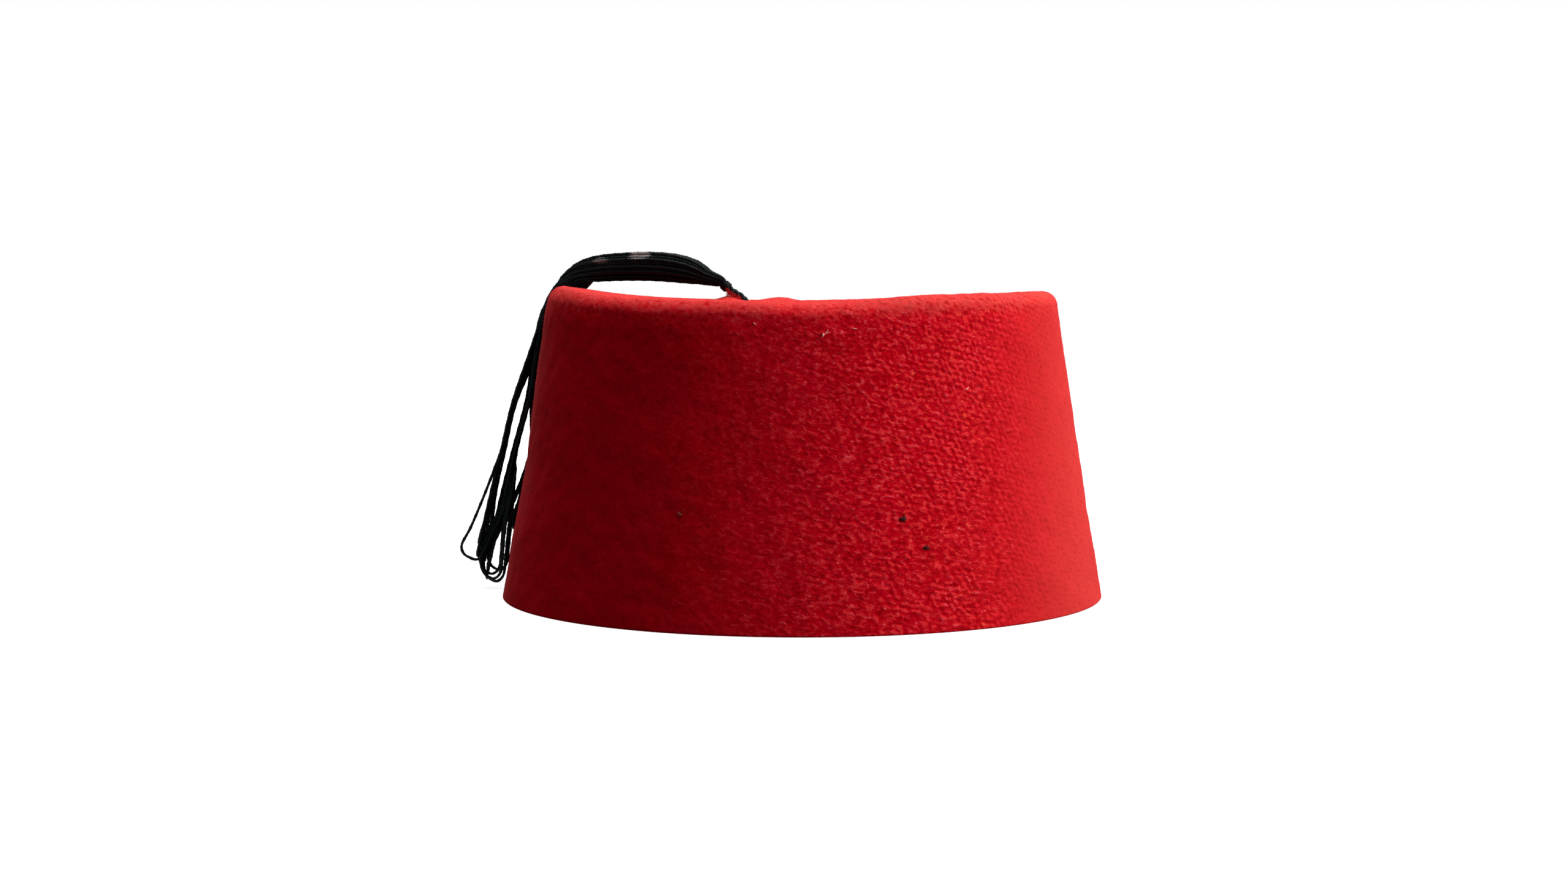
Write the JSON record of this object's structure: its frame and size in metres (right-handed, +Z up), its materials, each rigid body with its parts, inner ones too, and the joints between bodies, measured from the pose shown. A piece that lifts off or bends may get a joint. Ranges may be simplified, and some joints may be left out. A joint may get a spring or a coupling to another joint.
{
  "type": "fez hat",
  "caption": "Tapered felt cap with a flat dished top, open at the rim, and a black cord tassel tied through the top that falls over the left side.",
  "frame": {"origin": "middle of the whole object's footprint, on the surface that the rim stands on", "axes": "+Z up, -Y to the front that the picture shows, +X to the viewer's right; the tassel falls over the left side, at -X"},
  "size_m": [0.2055, 0.1902, 0.109],
  "materials": {
    "red_felt": "matt, short nap",
    "black_cord": "soft sheen"
  },
  "bodies": {
    "root": {"crown": "red_felt", "tassel_cord": "black_cord", "tassel_binding": "black_cord", "tassel": "black_cord"}
  },
  "joints": []
}
